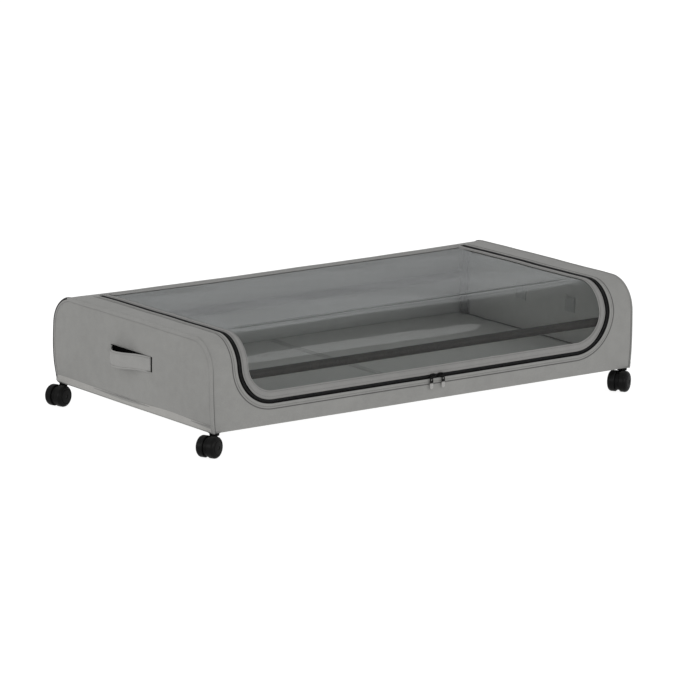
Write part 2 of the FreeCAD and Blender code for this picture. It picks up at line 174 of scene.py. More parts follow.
# ============================================================ mesh helpers
def new_object(name, verts, faces, uvs=None, smooth=True, weld=0.0, seam_shade=None):
    """verts in mm; uvs one (u, v) per vertex, in metres; the seam values, 0 to 1 per vertex, are painted shade that
    darkens the cloth along seam grooves.
    """
    me = bpy.data.meshes.new(name)
    me.from_pydata([(v[0] * 0.001, v[1] * 0.001, v[2] * 0.001) for v in verts], [], faces)
    if uvs is not None:
        layer = me.uv_layers.new(name="Cloth")
        for loop in me.loops:
            layer.data[loop.index].uv = uvs[loop.vertex_index]
    # the seam attribute holds painted shade, which the fabric material uses to darken the cloth
    if seam_shade is not None and any(seam_shade):
        att = me.attributes.new("seam_shade", "FLOAT", "POINT")
        for i, v in enumerate(seam_shade):
            att.data[i].value = v
    me.update()
    ob = bpy.data.objects.new(name, me)
    bpy.context.scene.collection.objects.link(ob)
    if weld:
        import bmesh
        bm = bmesh.new()
        bm.from_mesh(me)
        bmesh.ops.remove_doubles(bm, verts=bm.verts, dist=weld * 0.001)
        bmesh.ops.dissolve_degenerate(bm, edges=bm.edges, dist=1e-6)
        bm.to_mesh(me)
        bm.free()
    for p in me.polygons:
        p.use_smooth = smooth
    return ob


class Mesh:
    """Collects grids and tubes into one mesh."""

    def __init__(self):
        self.v, self.f, self.uv, self.seam_shade = [], [], [], []

    def grid(self, pts, uvs, flip=False, close=False, seam_shade=None):
        base = len(self.v)
        rows, cols = len(pts), len(pts[0])
        for r in range(rows):
            for c in range(cols):
                self.v.append(pts[r][c])
                self.uv.append(uvs[r][c])
                self.seam_shade.append(seam_shade[r][c] if seam_shade else 0.0)
        for r in range(rows - 1):
            for c in range(cols if close else cols - 1):
                c2 = (c + 1) % cols
                a, b = base + r * cols + c, base + r * cols + c2
                d, e = base + (r + 1) * cols + c2, base + (r + 1) * cols + c
                self.f.append((a, e, d, b) if flip else (a, b, d, e))

    def tube(self, pts, radius, sides=6, cap=True, flat=None):
        """A tube along points in mm; flat gives a normal per point that turns its cross-section."""
        base = len(self.v)
        n = len(pts)
        prev = None
        for i, p in enumerate(pts):
            p = Vector(p)
            t = (Vector(pts[min(i + 1, n - 1)]) - Vector(pts[max(i - 1, 0)])).normalized()
            ref = Vector(flat[i]) if flat else (prev if prev is not None else
                                               (Vector((0, 0, 1)) if abs(t.z) < 0.9 else Vector((1, 0, 0))))
            b = t.cross(ref).normalized()
            u = b.cross(t).normalized()
            prev = u
            r = radius[i] if hasattr(radius, "__len__") else radius
            for k in range(sides):
                a = 2 * pi * k / sides
                q = p + (u * cos(a) + b * sin(a)) * r
                self.v.append(tuple(q))
                self.uv.append((i * 0.001, k / sides * 0.003))
                self.seam_shade.append(0.0)
        for i in range(n - 1):
            for k in range(sides):
                a, b_ = base + i * sides + k, base + i * sides + (k + 1) % sides
                self.f.append((a, b_, b_ + sides, a + sides))
        if cap:
            self.f.append(tuple(base + k for k in reversed(range(sides))))
            self.f.append(tuple(base + (n - 1) * sides + k for k in range(sides)))

    def make(self, name, weld=0.0, smooth=True):
        return new_object(name, self.v, self.f, self.uv, smooth, weld, self.seam_shade)


def stitches(mesh, line, pitch=3.6, length=2.7, r=0.28, lift=0.12):
    """Thread stitches along a line of (point, normal) pairs."""
    total, acc = 0.0, [0.0]
    for (a, _), (b, _) in zip(line, line[1:]):
        total += (Vector(b) - Vector(a)).length
        acc.append(total)
    n = int(total / pitch)
    k = 0

    def at(d):
        nonlocal k
        while k < len(acc) - 2 and acc[k + 1] < d:
            k += 1
        while k > 0 and acc[k] > d:
            k -= 1
        f = (d - acc[k]) / max(1e-9, acc[k + 1] - acc[k])
        p = Vector(line[k][0]).lerp(Vector(line[k + 1][0]), f)
        q = Vector(line[k][1]).lerp(Vector(line[k + 1][1]), f).normalized()
        return p, q

    for i in range(n):
        d0 = (i + 0.5) * pitch - length / 2
        pts, nor = [], []
        for f, hgt in ((0.0, -0.35), (0.2, 0.05), (0.5, 0.12), (0.8, 0.05), (1.0, -0.35)):
            p, q = at(d0 + length * f)
            pts.append(tuple(p + q * (lift + hgt)))
            nor.append(tuple(q))
        mesh.tube(pts, [r * 0.7, r, r, r, r * 0.7], sides=5, flat=nor)


def solidify(ob, t_mm, offset=-1.0, rim=True):
    m = ob.modifiers.new("thickness", "SOLIDIFY")
    m.thickness = t_mm * 0.001
    m.offset = offset
    m.use_rim = rim
    m.use_even_offset = False
    return ob


def subsurf(ob, levels=1):
    m = ob.modifiers.new("smooth", "SUBSURF")
    m.levels = levels
    m.render_levels = levels
    return ob


# ============================================================ materials
def material(name):
    m = bpy.data.materials.new(name)
    m.use_nodes = True
    nt = m.node_tree
    for n in list(nt.nodes):
        nt.nodes.remove(n)
    out = nt.nodes.new("ShaderNodeOutputMaterial")
    bsdf = nt.nodes.new("ShaderNodeBsdfPrincipled")
    nt.links.new(bsdf.outputs["BSDF"], out.inputs["Surface"])
    return m, nt, bsdf, out


def node(nt, kind, **kw):
    n = nt.nodes.new(kind)
    for k, v in kw.items():
        setattr(n, k, v)
    return n


def noise(nt, vec, scale, detail=3.0, rough=0.55):
    n = node(nt, "ShaderNodeTexNoise")
    n.inputs["Scale"].default_value = scale
    n.inputs["Detail"].default_value = detail
    n.inputs["Roughness"].default_value = rough
    if vec is not None:
        nt.links.new(vec, n.inputs["Vector"])
    return n.outputs["Fac"]


def ramp(nt, fac, stops):
    n = node(nt, "ShaderNodeValToRGB")
    el = n.color_ramp.elements
    while len(el) < len(stops):
        el.new(0.5)
    for e, (p, c) in zip(el, stops):
        e.position = p
        e.color = (*c, 1.0) if len(c) == 3 else c
    nt.links.new(fac, n.inputs["Fac"])
    return n.outputs["Color"]


def math_node(nt, op, a, b=None, clamp=False):
    n = node(nt, "ShaderNodeMath", operation=op, use_clamp=clamp)
    for i, v in enumerate((a, b)):
        if v is None:
            continue
        if isinstance(v, (int, float)):
            n.inputs[i].default_value = v
        else:
            nt.links.new(v, n.inputs[i])
    return n.outputs[0]


def mix_rgb(nt, fac, a, b, blend="MIX"):
    n = node(nt, "ShaderNodeMix", data_type="RGBA", blend_type=blend)
    for sock, v in ((n.inputs[0], fac), (n.inputs[6], a), (n.inputs[7], b)):
        if isinstance(v, (int, float)):
            sock.default_value = v
        elif isinstance(v, tuple):
            sock.default_value = (*v, 1.0)
        else:
            nt.links.new(v, sock)
    return n.outputs[2]


def bump(nt, height, strength, dist, normal=None):
    n = node(nt, "ShaderNodeBump")
    n.inputs["Strength"].default_value = strength
    n.inputs["Distance"].default_value = dist
    nt.links.new(height, n.inputs["Height"])
    if normal is not None:
        nt.links.new(normal, n.inputs["Normal"])
    return n.outputs["Normal"]


def cloth_vector(nt, uv):
    if uv:
        n = node(nt, "ShaderNodeUVMap")
        n.uv_map = "Cloth"
        return n.outputs["UV"]
    return node(nt, "ShaderNodeTexCoord").outputs["Object"]


def weave(nt, vec, pitch):
    """A plain weave's height, 0 to 1, with its threads pitch metres apart."""
    sep = node(nt, "ShaderNodeSeparateXYZ")
    nt.links.new(vec, sep.inputs[0])
    k = 2 * pi / pitch
    su = math_node(nt, "SINE", math_node(nt, "MULTIPLY", sep.outputs[0], k))
    sv = math_node(nt, "SINE", math_node(nt, "MULTIPLY", sep.outputs[1], k))
    cross = math_node(nt, "MULTIPLY", su, sv)
    return math_node(nt, "ADD", math_node(nt, "MULTIPLY", cross, 0.5), 0.5)


def fabric(name, base, dark, pitch=0.0011, rough=0.86, uv=True, strength=0.35, mottling=1.0, sheen=0.12, spec=0.3):
    m, nt, bsdf, out = material(name)
    vec = cloth_vector(nt, uv)
    obj = node(nt, "ShaderNodeTexCoord").outputs["Object"]
    big = noise(nt, obj, 6.0, 4.0)
    mid = noise(nt, obj, 55.0, 4.0)
    fine = noise(nt, obj, 900.0, 2.0)
    fac = math_node(nt, "ADD", math_node(nt, "MULTIPLY", big, 0.55 * mottling),
                    math_node(nt, "MULTIPLY", mid, 0.45 * mottling))
    col = ramp(nt, fac, [(0.30, dark), (0.62, base)])
    w = weave(nt, vec, pitch)
    fleck = math_node(nt, "MULTIPLY", fine, 0.35)
    shade = math_node(nt, "ADD", math_node(nt, "MULTIPLY", w, 0.12), math_node(nt, "ADD", fleck, 0.76))
    col = mix_rgb(nt, 1.0, col, shade, "MULTIPLY")
    # painted shade: where the mesh's seam attribute is set, the cloth is darkened towards (0.20, 0.195, 0.21), standing
    # in for the shade in seam grooves
    painted_seam_shade = node(nt, "ShaderNodeAttribute", attribute_name="seam_shade")
    col = mix_rgb(nt, painted_seam_shade.outputs["Fac"], col, mix_rgb(nt, 1.0, col, (0.20, 0.195, 0.21), "MULTIPLY"))
    nt.links.new(col, bsdf.inputs["Base Color"])
    r = math_node(nt, "ADD", math_node(nt, "MULTIPLY", fine, 0.10), rough - 0.05)
    nt.links.new(r, bsdf.inputs["Roughness"])
    bsdf.inputs["Sheen Weight"].default_value = sheen
    bsdf.inputs["Sheen Roughness"].default_value = 0.5
    bsdf.inputs["Specular IOR Level"].default_value = spec
    n1 = bump(nt, w, strength, 0.00012)
    n2 = bump(nt, mid, 0.25, 0.0006, n1)
    nt.links.new(n2, bsdf.inputs["Normal"])
    return m


GREY = (0.368, 0.366, 0.353)
GREY_D = (0.320, 0.318, 0.307)
M_FABRIC = fabric("grey_cover_fabric", GREY, GREY_D)
M_BORDER = fabric("grey_window_border", (0.335, 0.331, 0.323), (0.292, 0.289, 0.282), strength=0.4)
M_STRAP = fabric("grey_strap", (0.415, 0.412, 0.400), (0.355, 0.352, 0.342), pitch=0.0016, strength=0.5)
M_BOARD = fabric("grey_board_cloth", (0.50, 0.492, 0.472), (0.45, 0.442, 0.424), pitch=0.0013)
M_THREAD = fabric("grey_thread", (0.17, 0.166, 0.162), (0.14, 0.137, 0.134), pitch=0.0004, uv=False, strength=0.2)
M_THREAD_L = fabric("light_grey_thread", (0.30, 0.294, 0.283), (0.26, 0.255, 0.246), pitch=0.0004, uv=False, strength=0.2)
M_BLACKTAPE = fabric("black_zip_tape", (0.0052, 0.0050, 0.0052), (0.0034, 0.0033, 0.0034), pitch=0.0008, strength=0.6, sheen=0.0, spec=0.12)
M_BINDING = fabric("black_binding", (0.012, 0.0115, 0.012), (0.008, 0.008, 0.008), pitch=0.0010, strength=0.6, sheen=0.05, spec=0.2)
# painted shade: near-black cloth for the sheet behind each handle opening, where there is only shadow
M_HANDLE_SHADE_SHEET = fabric("black_painted_shade_sheet", (0.0030, 0.0029, 0.0030), (0.0020, 0.0020, 0.0020), pitch=0.0010, strength=0.3, sheen=0.0, spec=0.08)
M_BACKING = fabric("grey_reverse", (0.50, 0.492, 0.472), (0.45, 0.442, 0.424), pitch=0.0013)


def hard(name, base, alt, rough, rough_var=0.08, metallic=0.0, scale=260.0, bump_s=0.15, dist=0.0002, coat=0.0,
         spec=0.5, wear=None):
    m, nt, bsdf, out = material(name)
    obj = node(nt, "ShaderNodeTexCoord").outputs["Object"]
    big = noise(nt, obj, 35.0, 3.0)
    fine = noise(nt, obj, scale, 2.0)
    col = ramp(nt, big, [(0.35, alt), (0.65, base)])
    if wear is not None:
        edge = node(nt, "ShaderNodeNewGeometry").outputs["Pointiness"]
        k = math_node(nt, "MULTIPLY", math_node(nt, "SUBTRACT", edge, 0.53, clamp=True), 9.0, clamp=True)
        k = math_node(nt, "MULTIPLY", k, noise(nt, obj, 700.0, 2.0), clamp=True)
        col = mix_rgb(nt, k, col, wear)
    nt.links.new(col, bsdf.inputs["Base Color"])
    r = math_node(nt, "ADD", math_node(nt, "MULTIPLY", fine, rough_var * 2), rough - rough_var)
    nt.links.new(r, bsdf.inputs["Roughness"])
    bsdf.inputs["Metallic"].default_value = metallic
    bsdf.inputs["Coat Weight"].default_value = coat
    bsdf.inputs["Coat Roughness"].default_value = 0.15
    bsdf.inputs["Specular IOR Level"].default_value = spec
    nt.links.new(bump(nt, fine, bump_s, dist), bsdf.inputs["Normal"])
    return m


M_TUBE = hard("black_powder_coat", (0.022, 0.018, 0.014), (0.015, 0.0125, 0.010), 0.42, 0.06, scale=500.0, bump_s=0.25, dist=0.0002, spec=0.3)
M_NYLON = hard("black_nylon", (0.0060, 0.0058, 0.0056), (0.0038, 0.0037, 0.0036), 0.34, 0.07, scale=420.0, bump_s=0.15, spec=0.24)
M_HOOD = hard("black_hood", (0.0050, 0.0048, 0.0046), (0.0032, 0.0031, 0.0030), 0.42, 0.07, scale=600.0, bump_s=0.2, spec=0.22)
M_AXLE = hard("blackened_axle", (0.030, 0.029, 0.028), (0.018, 0.018, 0.017), 0.38, 0.07, metallic=0.6, scale=900.0, bump_s=0.1)
M_PLASTIC = hard("black_plastic", (0.022, 0.022, 0.022), (0.016, 0.016, 0.016), 0.45, 0.06, scale=700.0, bump_s=0.2)
M_ZINC = hard("zinc_plated", (0.62, 0.62, 0.60), (0.50, 0.50, 0.49), 0.30, 0.08, metallic=1.0, scale=900.0, bump_s=0.1)
M_SLIDER = hard("black_enamel", (0.006, 0.006, 0.006), (0.004, 0.004, 0.004), 0.34, 0.06, scale=900.0, bump_s=0.1, spec=0.28)
# the pull tab: black enamel, with bright metal at its lower end, its pale colour partly a painted highlight
M_PULL, nt, bsdf, out = material("black_enamel_metal_tip_painted_highlight")
gen = node(nt, "ShaderNodeTexCoord")
sep = node(nt, "ShaderNodeSeparateXYZ")
nt.links.new(gen.outputs["Generated"], sep.inputs[0])
tip = noise(nt, gen.outputs["Object"], 800.0, 2.0)
hgt = math_node(nt, "ADD", sep.outputs[2], math_node(nt, "MULTIPLY", tip, 0.06))
tip_metal_and_highlight = ramp(nt, hgt, [(0.36, (1, 1, 1)), (0.46, (0, 0, 0))])
nt.links.new(mix_rgb(nt, tip_metal_and_highlight, (0.006, 0.006, 0.006), (0.80, 0.79, 0.77)), bsdf.inputs["Base Color"])
nt.links.new(math_node(nt, "ADD", math_node(nt, "MULTIPLY", tip, 0.16), 0.22), bsdf.inputs["Roughness"])
nt.links.new(math_node(nt, "MULTIPLY", tip_metal_and_highlight, 0.85), bsdf.inputs["Metallic"])
bsdf.inputs["Specular IOR Level"].default_value = 0.3
M_COIL = hard("black_coil", (0.020, 0.020, 0.021), (0.012, 0.012, 0.013), 0.34, 0.06, scale=900.0, bump_s=0.1, spec=0.4)

# clear sheet: lamps and the room's light pass it, and the view through it is only slightly bent
M_CLEAR, nt, bsdf, out = material("clear_sheet")
obj = node(nt, "ShaderNodeTexCoord").outputs["Object"]
bsdf.inputs["Base Color"].default_value = (0.955, 0.975, 0.970, 1)
bsdf.inputs["Transmission Weight"].default_value = 1.0
bsdf.inputs["IOR"].default_value = 1.46
smear = noise(nt, obj, 22.0, 4.0)
rough = math_node(nt, "ADD", math_node(nt, "MULTIPLY", smear, 0.07), -0.01, clamp=True)
nt.links.new(rough, bsdf.inputs["Roughness"])
wavy = noise(nt, obj, 7.0, 1.0)
nt.links.new(bump(nt, wavy, 0.10, 0.004), bsdf.inputs["Normal"])
path = node(nt, "ShaderNodeLightPath")
clear = node(nt, "ShaderNodeBsdfTransparent")
clear.inputs["Color"].default_value = (0.93, 0.95, 0.945, 1)
mix = node(nt, "ShaderNodeMixShader")
nt.links.new(path.outputs["Is Shadow Ray"], mix.inputs[0])
nt.links.new(bsdf.outputs["BSDF"], mix.inputs[1])
nt.links.new(clear.outputs["BSDF"], mix.inputs[2])
nt.links.new(mix.outputs["Shader"], out.inputs["Surface"])


def give(ob, *mats):
    ob.data.materials.clear()
    for m in mats:
        ob.data.materials.append(m)
    return ob


def cad(nodename, mat):
    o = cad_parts[nodename]
    for s in o.material_slots:
        s.material = mat
    return o


# ============================================================ the wrap: front, shoulders and back in one skin
def wrap_relief(x, s, o=None):
    """Outward height of sewn detail on the body fabric."""
    h = 0.0
    if o is not None and s < S_HINGE + 1:
        # folded hem next to the zipper, its stitch line, then the facing's seam
        if o < 9.5:
            t = (o - FAB_EDGE) / (9.5 - FAB_EDGE)
            h += 0.75 * sqrt(max(0.0, 1 - (1 - min(1, t * 3.2)) ** 2)) * (1 - 0.15 * t)
        h += 0.75 * (1 - sstep(9.5, 10.6, o)) if o >= 9.5 else 0.0
        h -= 0.55 * exp(-((o - 10.0) / 0.5) ** 2)
        h -= 0.50 * exp(-((o - 14.2) / 0.6) ** 2)
    e = L2 - abs(x)
    if e < 12:
        h += 0.35 * (1 - sstep(1.8, 3.4, e))
        h -= 0.55 * exp(-((e - 2.7) / 0.5) ** 2)
        if e < 1.6:
            h -= 1.5 * (1 - sqrt(max(0.0, 1 - (1 - e / 1.6) ** 2)))
    lo = min(s, S_END - s)
    if lo < 12:
        h += 0.30 * (1 - sstep(6.5, 8.4, lo))
        h -= 0.45 * exp(-((lo - 7.6) / 0.5) ** 2)
        if lo < 1.6:
            h -= 1.1 * (1 - sqrt(max(0.0, 1 - (1 - lo / 1.6) ** 2)))
    return h


def wrap_seam_shade(x, s, o=None):
    """How strongly painted shade darkens the body fabric at a point, along its seam grooves, beside the zipper and at
    the end edges.
    """
    k = 0.0
    if o is not None and s < S_HINGE + 1:
        k = max(k, exp(-((o - 14.2) / 0.85) ** 2), 0.08 * exp(-((o - 10.0) / 0.6) ** 2))
        # painted shade on the folded cloth edge beside the zipper
        if o < 5.0:
            k = max(k, 0.7)
    # painted shade along the seams at the end edges, darker on the left end than on the right and fading higher up
    up = 1 - 0.8 * sstep(70, 135, s) if s < S_B else 0.3
    k = max(k, (0.95 if x < 0 else 0.6) * up * exp(-((L2 - abs(x) - 2.6) / 0.75) ** 2))
    return min(1.0, k)


FAB_EDGE = 4.5
body = Mesh()
cols = columns(5.0, 3.2, 5.2)
near = [4.5, 4.62, 4.85, 5.3, 6.2, 8.0, 9.2, 9.6, 10.0, 10.4, 11.0, 12.6, 13.2, 13.7, 14.2, 14.7, 15.2, 16.0, 17.5]
edge = [14.0, 9.0, 5.6, 4.2, 3.6, 3.1, 2.6, 2.1, 1.6, 1.0, 0.5, 0.18, 0.0]
rows = len(near) + 4 + len(edge)
pts = [[None] * len(cols) for _ in range(rows)]
uvs = [[None] * len(cols) for _ in range(rows)]
sm = [[0.0] * len(cols) for _ in range(rows)]
end_x = []
for j, c in enumerate(cols):
    ob_ = boundary(c)
    x0, s0, nx, ns, kind = c
    os_ = list(near) + [17.5 + (ob_ - 14.0 - 17.5) * k / 5 for k in (1, 2, 3, 4)] + [ob_ - e for e in edge]
    for i, o in enumerate(os_):
        x, s = x0 + nx * o, s0 + ns * o
        pts[i][j] = P(x, s, wrap_relief(x, s, o))
        uvs[i][j] = (x * 0.001, s * 0.001)
        sm[i][j] = wrap_seam_shade(x, s, o)
        if j == 0:
            end_x.append(x)
body.grid(pts, uvs, flip=True, seam_shade=sm)
# the back: full width from the hinge line over the back edge to the foot
xs = sorted(end_x)                                     # left shoulder, outer to inner
inner = [-398.5 + 797.0 * i / 110 for i in range(1, 110)]
xs = xs + inner + [-x for x in reversed(xs)]
ss = [S_HINGE + (S_T - S_HINGE) * i / 3 for i in range(4)]
ss += [S_T + (S_B - S_T) * i / 16 for i in range(1, 17)]
ss += [S_B + (S_F - 14) * i / 16 for i in range(1, 17)]
ss += [S_END - e for e in (11.0, 8.6, 8.0, 7.6, 7.2, 6.6, 4.0, 1.6, 0.8, 0.3, 0.0)]
pts, uvs, sm = [], [], []
for s in ss:
    prow, urow, srow = [], [], []
    for x in xs:
        oo = None
        h = wrap_relief(x, s, (abs(x) - (AX + ZC)) if (s <= S_HINGE and abs(x) >= 398.4) else None)
        if abs(x) < 398.4 and s < S_HINGE + 9:
            t = s - S_HINGE
            h += 0.5 * (1 - sstep(4.5, 6.5, t)) - 0.5 * exp(-((t - 5.4) / 0.5) ** 2)
        prow.append(P(x, s, h))
        urow.append((x * 0.001, s * 0.001))
        srow.append(wrap_seam_shade(x, s, (abs(x) - (AX + ZC)) if s <= S_HINGE + 0.1 and abs(x) >= 398.4 else None))
    pts.append(prow)
    uvs.append(urow)
    sm.append(srow)
body.grid(pts, uvs, seam_shade=sm)
wrap_ob = body.make("cover_wrap", weld=0.02)
solidify(wrap_ob, 1.3)
give(wrap_ob, M_FABRIC)
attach(wrap_ob, "box")
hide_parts("cover_front_panel", "cover_shoulder_left", "cover_shoulder_right", "cover_back_panel")


# ============================================================ end walls
def end_relief(y, z):
    """Outward height on an end wall."""
    if abs(y) > W2 - R and z > Z0 + H - R:
        e = R - math.hypot(abs(y) - (W2 - R), z - (Z0 + H - R))
    else:
        e = min(W2 - abs(y), Z0 + H - z)
    h = 0.0
    if e < 14:
        h += 0.50 * (1 - sstep(5.6, 7.4, e))
        h -= 0.45 * exp(-((e - 6.6) / 0.6) ** 2)
        if e < 2.4:
            h -= 2.2 * (1 - sqrt(max(0.0, 1 - (1 - max(e, 0) / 2.4) ** 2)))
    zr = z - Z0
    if zr < 22:
        h += 0.20 * (1 - sstep(10.4, 12.4, zr))
        h -= 0.60 * exp(-((zr - 12.0) / 0.7) ** 2)
        if zr < 1.6:
            h -= 1.1 * (1 - sqrt(max(0.0, 1 - (1 - max(zr, 0) / 1.6) ** 2)))
    # soft belly and slow unevenness
    h += 1.1 * exp(-((z - 125.0) / 45.0) ** 2) * (1 - (y / 250.0) ** 4)
    h += 0.30 * sin(y / 47.0 + 0.9 * sin(z / 31.0)) * sin(z / 27.0 + 0.7 * sin(y / 83.0))
    # the wall is drawn in a little where the handle pulls
    for yc in (-61.0, 61.0):
        h += 0.7 * exp(-(((y - yc) / 14.0) ** 2 + ((z - 127.0) / 20.0) ** 2))
    return h


SLIT0, SLIT1 = 115.0, 142.0
RING = [0.0, 0.2, 0.7, 1.4, 2.4, 3.6, 5.0, 5.6, 6.1, 6.6, 7.1, 7.6, 8.4, 10.5, 14.0]
zr_list = [0.0, 0.3, 0.8, 1.6, 4.0, 8.0, 10.0, 10.8, 11.4, 12.0, 12.6, 13.2, 14.0, 16.0]
zr_list += [16.0 + (SLIT0 - Z0 - 16.0) * i / 11 for i in range(1, 12)]
zr_list += [SLIT0 - Z0 + (SLIT1 - SLIT0) * i / 7 for i in range(1, 8)]
zr_list += [H - R]
zl = [Z0 + z for z in zr_list]
ang = [pi / 2 * i / 14 for i in range(1, 14)]
OPEN_A, OPEN_B = -69.5, 61.6       # the ends of the opening behind the handle
yt = [-194.0 + (194.0 + OPEN_A) * i / 25 for i in range(26)]
yt += [OPEN_A + (OPEN_B - OPEN_A) * i / 30 for i in range(1, 30)]
yt += [OPEN_B + (194.0 - OPEN_B) * i / 25 for i in range(26)]


def end_wall(name, side, nodename):
    mesh = Mesh()

    def pt(y, z):
        x = side * L2
        h = end_relief(y, z)
        # the edges follow the wrap's own offset
        if abs(y) > W2 - R and z > Z0 + H - R:
            dy, dz = abs(y) - (W2 - R), z - (Z0 + H - R)
            d = math.hypot(dy, dz)
            e, a = R - d, math.atan2(dz, dy)
            ny, nz = math.copysign(cos(a), y), sin(a)
            s = S_F + R * a if y < 0 else S_B - R * a
        elif Z0 + H - z < W2 - abs(y):
            e, ny, nz, s = Z0 + H - z, 0.0, 1.0, S_A + y + (W2 - R)
        else:
            e, ny, nz = W2 - abs(y), math.copysign(1.0, y), 0.0
            s = z - Z0 if y < 0 else S_END - (z - Z0)
        k = slack(x, s) * (1 - sstep(0, 46, e))
        return (x + end_shift(x, z) + side * h, y + ny * k, z + nz * k)

    # painted shade for the end wall: a light line along its edge seam and a dark line in its hem groove, carried in the
    # seam attribute
    def seam_shade_at(y, z):
        if abs(y) > W2 - R and z > Z0 + H - R:
            e = R - math.hypot(abs(y) - (W2 - R), z - (Z0 + H - R))
        else:
            e = min(W2 - abs(y), Z0 + H - z)
        k = 0.32 * exp(-((e - 6.6) / 0.9) ** 2) if z - Z0 > 11.9 else 0.0
        k = max(k, 1.0 * exp(-((z - Z0 - 12.0) / 1.25) ** 2) if e > 5.8 else 0.0)
        return k

    ring_p, ring_u, ring_s = [], [], []
    for e in RING:
        y_s, r = W2 - e, R - e
        line = [(-y_s, z) for z in zl]
        line += [(-(W2 - R) - r * cos(a), Z0 + H - R + r * sin(a)) for a in ang]
        line += [(y, Z0 + H - e) for y in yt]
        line += [((W2 - R) + r * cos(a), Z0 + H - R + r * sin(a)) for a in reversed(ang)]
        line += [(y_s, z) for z in reversed(zl)]
        ring_p.append([pt(y, z) for y, z in line])
        ring_u.append([(y * 0.001, z * 0.001) for y, z in line])
        ring_s.append([seam_shade_at(y, z) for y, z in line])
    mesh.grid(ring_p, ring_u, flip=side < 0, seam_shade=ring_s)
    e = RING[-1]
    r = R - e
    ys = [-(W2 - e)] + [-(W2 - R) - r * cos(a) for a in ang] + yt
    ys += [(W2 - R) + r * cos(a) for a in reversed(ang)] + [W2 - e]

    def ztop(y):
        if abs(y) <= W2 - R:
            return Z0 + H - e
        return Z0 + H - R + sqrt(max(0.0, r * r - (abs(y) - (W2 - R)) ** 2))

    ws = [i / 8 for i in range(1, 9)]
    grid_p, grid_u, grid_s = [], [], []
    for z in zl:
        grid_p.append([pt(y, z) for y in ys])
        grid_u.append([(y * 0.001, z * 0.001) for y in ys])
        grid_s.append([seam_shade_at(y, z) for y in ys])
    for w in ws:
        row = [(y, Z0 + H - R + w * (ztop(y) - (Z0 + H - R))) for y in ys]
        grid_p.append([pt(y, z) for y, z in row])
        grid_u.append([(y * 0.001, z * 0.001) for y, z in row])
        grid_s.append([seam_shade_at(y, z) for y, z in row])
    base = len(mesh.f)
    mesh.grid(grid_p, grid_u, flip=side > 0, seam_shade=grid_s)
    # the opening behind the handle
    keep = []
    ncol = len(ys) - 1
    for k, f in enumerate(mesh.f[base:]):
        r_, c_ = divmod(k, ncol)
        z_mid = (grid_p[r_][c_][2] + grid_p[r_ + 1][c_][2]) / 2
        y_mid = (ys[c_] + ys[c_ + 1]) / 2
        if SLIT0 < z_mid < SLIT1 and OPEN_A < y_mid < OPEN_B:
            continue
        keep.append(f)
    mesh.f = mesh.f[:base] + keep
    ob = mesh.make(name, weld=0.02)
    solidify(ob, 1.3, offset=-1.0)
    give(ob, M_FABRIC)
    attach(ob, "box")
    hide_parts(nodename)
    # near-black sheet let in 1.5 mm behind the opening under the handle: painted shade for the dark gap behind the
    # strap
    shade_sheet_mesh = Mesh()
    lp, lu = [], []
    for i in range(13):
        z = SLIT0 - 5.0 + (SLIT1 - SLIT0 + 10.0) * i / 12
        row, urow = [], []
        for j in range(41):
            y = -74.0 + 142.0 * j / 40
            x = side * L2 + end_shift(side * L2, z) + side * (end_relief(y, z) - 1.5)
            row.append((x, y, z))
            urow.append((y * 0.001, z * 0.001))
        lp.append(row)
        lu.append(urow)
    shade_sheet_mesh.grid(lp, lu, flip=side > 0)
    lo = shade_sheet_mesh.make(name + "_handle_shade_sheet")
    solidify(lo, 0.3)
    give(lo, M_HANDLE_SHADE_SHEET)
    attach(lo, "box")
    return ob


end_wall("end_wall_left", -1, "cover_end_panel_left")
end_wall("end_wall_right", 1, "cover_end_panel_right")

# ============================================================ seam stitching on the body fabric
th = Mesh()


def path_line(o, h, t0, t1, step=4.0):
    line = []
    n = max(2, int((t1 - t0) / step))
    for i in range(n + 1):
        x, s, nx, ns = along(t0 + (t1 - t0) * i / n, o)
        line.append((P(x, s, h), tuple(N(x, s))))
    return line


th2 = Mesh()
stitches(th2, path_line(10.0, 0.2, 4.0, PATH_LEN - 4.0), pitch=3.8)
hem_thread = th2.make("cover_hem_stitching")
give(hem_thread, M_THREAD_L)
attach(hem_thread, "box")
stitches(th, path_line(14.2, -0.25, 4.0, PATH_LEN - 4.0), pitch=3.8)
stitches(th, [(P(x, S_HINGE + 5.4, 0.1), (0, 0, 1)) for x in [-392 + 784 * i / 120 for i in range(121)]], pitch=3.8)
for side in (-1, 1):
    # along the end wall's edges and its hem
    for zz in (12.0,):
        line = []
        for i in range(101):
            y = -246.0 + 492.0 * i / 100
            z = Z0 + zz
            line.append(((side * L2 + end_shift(side * L2, z) + side * (end_relief(y, z) + 0.35), y, z), (side, 0, 0)))
        stitches(th, line, pitch=3.8)
    line = []
    e = 6.6
    outline = [(-(W2 - e), Z0 + 15 + (H - R - 15) * i / 20) for i in range(20)]
    outline += [(-(W2 - R) - (R - e) * cos(pi / 2 * i / 14), Z0 + H - R + (R - e) * sin(pi / 2 * i / 14)) for i in range(14)]
    outline += [(-(W2 - R) + 2 * (W2 - R) * i / 60, Z0 + H - e) for i in range(60)]
    outline += [((W2 - R) + (R - e) * sin(pi / 2 * i / 14), Z0 + H - R + (R - e) * cos(pi / 2 * i / 14)) for i in range(14)]
    outline += [((W2 - e), Z0 + H - R - (H - R - 15) * i / 20) for i in range(21)]
    for y, z in outline:
        line.append(((side * L2 + end_shift(side * L2, z) + side * (end_relief(y, z) + 0.35), y, z), (side, 0, 0)))
    stitches(th, line, pitch=3.8)
thread = th.make("cover_stitching")
give(thread, M_THREAD)
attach(thread, "box")

